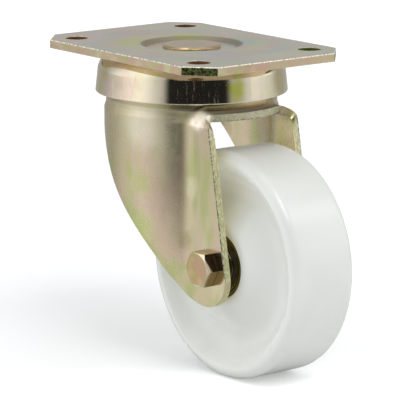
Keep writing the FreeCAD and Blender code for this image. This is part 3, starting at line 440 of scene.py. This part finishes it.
def threaded_zinc(tree):
    """The bolt: a turned chamfer painted bright as a reflection of light from above, a painted shadow line under
    the head, and on its tail an M12 thread.

    The thread is a sine of the length over the pitch plus the angle round the axle.
    """
    (over, along, beside), away = tree.from_axle()
    turn = along * (2 * math.pi / THREAD_PITCH) + beside.math("ARCTAN2", over)
    thread_start = TAIL_END - THREAD_LENGTH
    ridge = turn.math("SINE") * along.ramp(thread_start, thread_start + 0.5 * MM)
    chamfer = along.ramp(HEAD_END + 1.5 * MM, HEAD_END + 1.7 * MM, 1.0, 0.0)
    chamfer = away.ramp(8.55 * MM, 8.65 * MM) * chamfer
    colour = passivated(tree, BOLT_PLATING, 0.012)
    # Painted reflection: the chamfer is painted bright gold, as it mirrors light from above
    colour = (chamfer * 0.75).mix(colour, REFLECTED_GOLD)
    # Painted shadow: a dark line round the bolt under the head
    seat_shadow = along.near(-FLANGE_FACE - 0.1 * MM, 0.15 * MM, 0.15 * MM)
    colour = seat_shadow.mix(colour, (0.03, 0.02, 0.01))
    return plated(tree, colour, 0.14 - chamfer * 0.04, 0.05, edge=0.35 * MM, relief=ridge * 30.0)


def lock_nut(tree):
    """The lock nut: plated, with its white nylon ring showing round the bolt at the outer end."""
    place, away = tree.from_axle()
    outer_end = place[1].ramp(NUT_END - 0.3 * MM, NUT_END - 0.1 * MM)
    ring = away.ramp(7.0 * MM, 7.1 * MM, 1.0, 0.0) * outer_end
    colour = ring.mix(passivated(tree, BOLT_PLATING, 0.012), (0.70, 0.71, 0.66))
    return plated(tree, colour, ring * 0.2 + 0.14, 0.05, edge=0.35 * MM, metal=1.0 - ring)


def nylon(tree):
    """Natural white nylon: faintly translucent, semi-gloss, with a faint painted glow in place of light through
    it, stronger towards the rim on its sides.
    """
    away = tree.from_axle()[1]
    # Painted light: the nylon glows faintly all over, more in a band towards the rim on its sides
    glow_band = away.ramp(28.0 * MM, 46.0 * MM) * away.ramp(57.0 * MM, 61.0 * MM, 1.0, 0.0)
    cloud = tree.noise(0.03, 3.0, seed=3.0)
    colour = cloud.ramp(0.3, 0.7).mix((0.62, 0.635, 0.615), (0.65, 0.665, 0.645))
    rounded = tree.soft_edge(2.0 * MM)[0]
    return tree.node("ShaderNodeBsdfPrincipled", {},
                     {"Base Color": colour, "Roughness": cloud * 0.10 + 0.13, "IOR": 1.53,
                      "Subsurface Weight": 0.2, "Subsurface Radius": (0.006, 0.006, 0.005),
                      "Subsurface Scale": 0.6,
                      "Emission Color": glow_band.mix((0.060, 0.063, 0.050), (0.150, 0.155, 0.140)),
                      "Emission Strength": 1.0,
                      "Normal": tree.bump(cloud, 0.05 * MM, 0.1, rounded)})


def rubber(tree):
    """Dark seal rubber with a faint moulded grain and thin raised rings round the axle, the outer one painted
    light as a highlight.
    """
    away = tree.from_axle()[1]
    ring = away.near(SEAL_RADIUS - 0.45 * MM, 0.15 * MM, 0.15 * MM)
    fold = away.near(SEAL_RADIUS - 2.7 * MM, 0.5 * MM, 0.6 * MM)
    grain = tree.noise(0.6 * MM, 2.0, seed=6.0)
    colour = grain.ramp(0.3, 0.7).mix((0.020, 0.018, 0.013), (0.036, 0.032, 0.024))
    # Painted highlight: the thin outer ring is lighter, as a bright arc
    colour = (ring * 0.8).mix(colour, (0.40, 0.37, 0.28))
    return tree.node("ShaderNodeBsdfPrincipled", {},
                     {"Base Color": colour, "Roughness": grain * 0.2 + 0.28 - ring * 0.1,
                      "Normal": tree.bump(grain * 0.05 + ring + fold, 0.15 * MM, 0.6)})


def bright_steel(tree):
    """Ground steel with fine turning lines; the bearing's outer ring is painted dark as a reflection of the shaded
    leg, with a thin painted highlight at a groove.
    """
    away = tree.from_axle()[1]
    beyond_seal = away.ramp(SEAL_RADIUS - 0.1 * MM, SEAL_RADIUS + 0.1 * MM)
    within = away.ramp(BEARING_RADIUS - 0.05 * MM, BEARING_RADIUS + 0.05 * MM, 1.0, 0.0)
    groove_highlight = away.near(BEARING_RADIUS - 1.1 * MM, 0.10 * MM, 0.15 * MM)
    lines = tree.noise(0.25 * MM, 2.0, seed=7.0)
    rounded, worn = tree.soft_edge(0.25 * MM)
    colour = lines.ramp(0.3, 0.7).mix((0.36, 0.33, 0.27), (0.50, 0.47, 0.40))
    colour = (worn * 0.6).mix(colour, EDGE)
    # Painted reflection: the bearing's outer ring face is dark, as it mirrors the shaded leg, and a thin painted
    # highlight runs round its groove
    colour = (beyond_seal * within).mix(colour, groove_highlight.mix((0.10, 0.085, 0.055), (0.62, 0.57, 0.42)))
    return tree.node("ShaderNodeBsdfPrincipled", {},
                     {"Base Color": colour, "Metallic": 1.0, "Roughness": lines * 0.12 + 0.14,
                      "Normal": tree.bump(lines, 0.01 * MM, 0.2, rounded)})


PLATE_ZINC = finish("plate_zinc", plate_zinc)
CUP_ZINC = finish("cup_zinc", cup_zinc)
FORK_ZINC = finish("fork_zinc", fork_zinc)
FASTENER_ZINC = finish("fastener_zinc", fastener_zinc)
THREADED_ZINC = finish("threaded_zinc", threaded_zinc)
LOCK_NUT = finish("lock_nut", lock_nut)
BRIGHT_STEEL = finish("bright_steel", bright_steel)
SEAL_RUBBER = finish("seal_rubber", rubber)
NYLON = finish("nylon", nylon)


def dress(material, *names):
    """Give CAD nodes a finish."""
    for name in names:
        for place in frame["nodes"][name].material_slots:
            place.material = material


dress(PLATE_ZINC, "top_plate")
dress(CUP_ZINC, "race_cup", "lower_race")
dress(FORK_ZINC, "fork_housing")
dress(FASTENER_ZINC, "king_pin", "pin_washer", "pin_nut", "axle_washer")
dress(THREADED_ZINC, "axle_bolt")
dress(LOCK_NUT, "axle_nut")
dress(NYLON, "nylon_wheel")
dress(BRIGHT_STEEL, "upper_balls", "lower_balls", "axle_sleeve")
for side in ("left", "right"):
    dress(SEAL_RUBBER, f"{side}_seal")
    dress(BRIGHT_STEEL, f"{side}_spacer", f"{side}_inner_ring", f"{side}_outer_ring",
          f"{side}_bearing_balls", f"{side}_cage")


# Studio
AZIMUTH = math.radians(52.13)
ELEVATION = math.radians(11.86)
DISTANCE = 1.54016
LOOK_AT = Vector((0.01654, -0.00704, -0.08427))
FOCAL_PIXELS = 2803.7
PICTURE = 400
SENSOR = 36.0
AMBIENT = 0.88
FLOOR_REACH = 8.0
TABLE_EDGE = 0.5

# Sectors of the room round the castor, in degrees right of the camera: middle, half width and fade.
# ROOM_TOP is where the dark room behind the camera fades out, in radians above level.
LEFT_BOX = (-78.0, 30.0, 44.0)
RIGHT_BOX = (94.0, 22.0, 30.0)
WARM_BOX = (-66.0, 22.0, 30.0)
DARK_ROOM = (7.5, 38.5, 11.0)
LEFT_FLOOR = (-76.0, 30.0, 44.0)
ROOM_FLOOR = (7.45, 40.11, 17.19)
ROOM_TOP = (0.64, 0.76)

# How bright the metal mirrors each of them
PLAIN_LEVEL = 0.46
LEFT_LEVEL = 0.72
RIGHT_LEVEL = 0.55
UPPER_LEVEL = 0.5
WARM_LEVEL = 1.5


def set_camera():
    """The photograph's camera: its direction and distance from the point that it looks at."""
    camera = bpy.data.objects.new("camera", bpy.data.cameras.new("camera"))
    bpy.context.scene.collection.objects.link(camera)
    back = Vector((math.sin(AZIMUTH) * math.cos(ELEVATION), -math.cos(AZIMUTH) * math.cos(ELEVATION),
                   math.sin(ELEVATION)))
    camera.location = LOOK_AT + back * DISTANCE
    camera.rotation_euler = back.to_track_quat("Z", "Y").to_euler()
    camera.data.sensor_width = SENSOR
    camera.data.lens = FOCAL_PIXELS / PICTURE * SENSOR
    bpy.context.scene.camera = camera


def toward_camera(x, y):
    """How far ahead of the object, towards the camera, a way or place lies, and its angle to the right."""
    ahead = x * math.sin(AZIMUTH) - y * math.cos(AZIMUTH)
    across = x * math.cos(AZIMUTH) + y * math.sin(AZIMUTH)
    return ahead, across.math("ARCTAN2", ahead)


def sector(angle, middle, half, fade):
    """1 in a sector of the room and 0 outside it."""
    return angle.near(math.radians(middle), math.radians(half), math.radians(fade))


def ray(tree, kind):
    """1 for rays of a kind, such as camera, glossy or diffuse."""
    return tree.node("ShaderNodeLightPath", {}, {}, f"Is {kind} Ray")


def set_world():
    """A white studio with boxes of light left, right and above, and a dark room behind the camera."""
    world = bpy.data.worlds.new("studio")
    bpy.context.scene.world = world
    world.use_nodes = True
    tree = Tree(world.node_tree)
    x, y, z = tree.node("ShaderNodeTexCoord", {}, {}, "Generated").parts()
    ahead, angle = toward_camera(x, y)
    height = z.math("ARCSINE")
    warm = sector(angle, *WARM_BOX)
    low = height.ramp(math.radians(35), math.radians(60), 1.0, 0.0)
    above = height.ramp(math.radians(42), math.radians(66))
    level = sector(angle, *LEFT_BOX) * low * LEFT_LEVEL + sector(angle, *RIGHT_BOX) * low * RIGHT_LEVEL
    level = level + above * (warm * WARM_LEVEL + UPPER_LEVEL) + PLAIN_LEVEL
    dark = sector(angle, *DARK_ROOM) * height.ramp(*ROOM_TOP, 1.0, 0.0)
    level = level * (1.0 - dark * 0.97)
    seen = ray(tree, "Camera")
    lighting = ray(tree, "Diffuse")
    strength = seen + lighting * AMBIENT + (1.0 - seen - lighting) * level
    back = tree.node("ShaderNodeBackground", {}, {"Color": WHITE, "Strength": strength})
    tree.node("ShaderNodeOutputWorld", {}, {"Surface": back})


def add_light(name, way, distance, wide, high, power):
    """A soft box aimed at the castor from a direction, which the camera can't see."""
    lamp = bpy.data.lights.new(name, "AREA")
    lamp.shape = "RECTANGLE"
    lamp.size = wide
    lamp.size_y = high
    lamp.energy = power
    light = bpy.data.objects.new(name, lamp)
    bpy.context.scene.collection.objects.link(light)
    light.location = LOOK_AT + Vector(way).normalized() * distance
    light.rotation_euler = Vector(way).to_track_quat("Z", "Y").to_euler()
    light.visible_camera = False


def floor_paint(tree):
    """Pale paper, with a painted glow that makes it a little brighter to the camera than the light alone makes it.

    Mirrored in the metal it is greyer, with painted brighter sectors at the left and right, and ends before a dark
    room.
    """
    x, y, z = tree.place().parts()
    ahead, angle = toward_camera(x, y)
    # Painted reflection: glossy rays see the floor grey, with brighter sectors painted at the left and right, and
    # darkened beyond the table's edge
    beyond = ahead.ramp(TABLE_EDGE - 0.02, TABLE_EDGE + 0.02) * sector(angle, *ROOM_FLOOR)
    grey = sector(angle, *LEFT_FLOOR) * 0.42 + sector(angle, *RIGHT_BOX) * 0.30 + PLAIN_LEVEL
    mirrored = (grey * (1.0 - beyond * 0.80)).mix(BLACK, WHITE)
    paper = tree.noise(0.4).ramp(0.3, 0.7).mix((0.91, 0.92, 0.935), (0.925, 0.935, 0.95))
    # Painted light: for the camera the floor glows, most in front of the wheel and to its right, where it lightens
    # the wheel's contact shadow, and far off
    front = (ahead + x * 0.4).ramp(0.02, 0.12)
    far = ahead.ramp(-1.2, -0.5, 1.0, 0.0)
    lift = (ray(tree, "Camera") * (front * 0.3 + far * 0.15 + 0.10)).mix(BLACK, WHITE)
    return tree.node("ShaderNodeBsdfPrincipled", {},
                     {"Base Color": ray(tree, "Glossy").mix(paper, mirrored), "Roughness": 0.7,
                      "Specular IOR Level": 0.2, "Emission Color": lift, "Emission Strength": 1.0})


def add_floor():
    """A wide plain floor under the wheel.

    A grid of two by two points: x and y each run from one end of the floor's reach to the other, and z
    is the height of the castor's lowest point.
    """
    ends = np.array([-FLOOR_REACH, FLOOR_REACH])
    x, y = np.meshgrid(ends, ends)
    points = np.stack([x, y, np.full(x.shape, cad_box[0][2])], axis=-1).reshape(-1, 3)
    mesh = bpy.data.meshes.new("floor")
    mesh.from_pydata(points.tolist(), [], [(0, 1, 3, 2)])
    floor = bpy.data.objects.new("floor", mesh)
    bpy.context.scene.collection.objects.link(floor)
    mesh.materials.append(finish("floor", floor_paint))


set_camera()
set_world()
add_floor()
add_light("key", (0.516, -0.113, 0.848), 2.0, 0.9, 0.9, 11.0)
add_light("window", (0.506, 0.601, 0.619), 2.0, 0.5, 0.4, 0.7)
bpy.context.scene.view_settings.view_transform = "Standard"
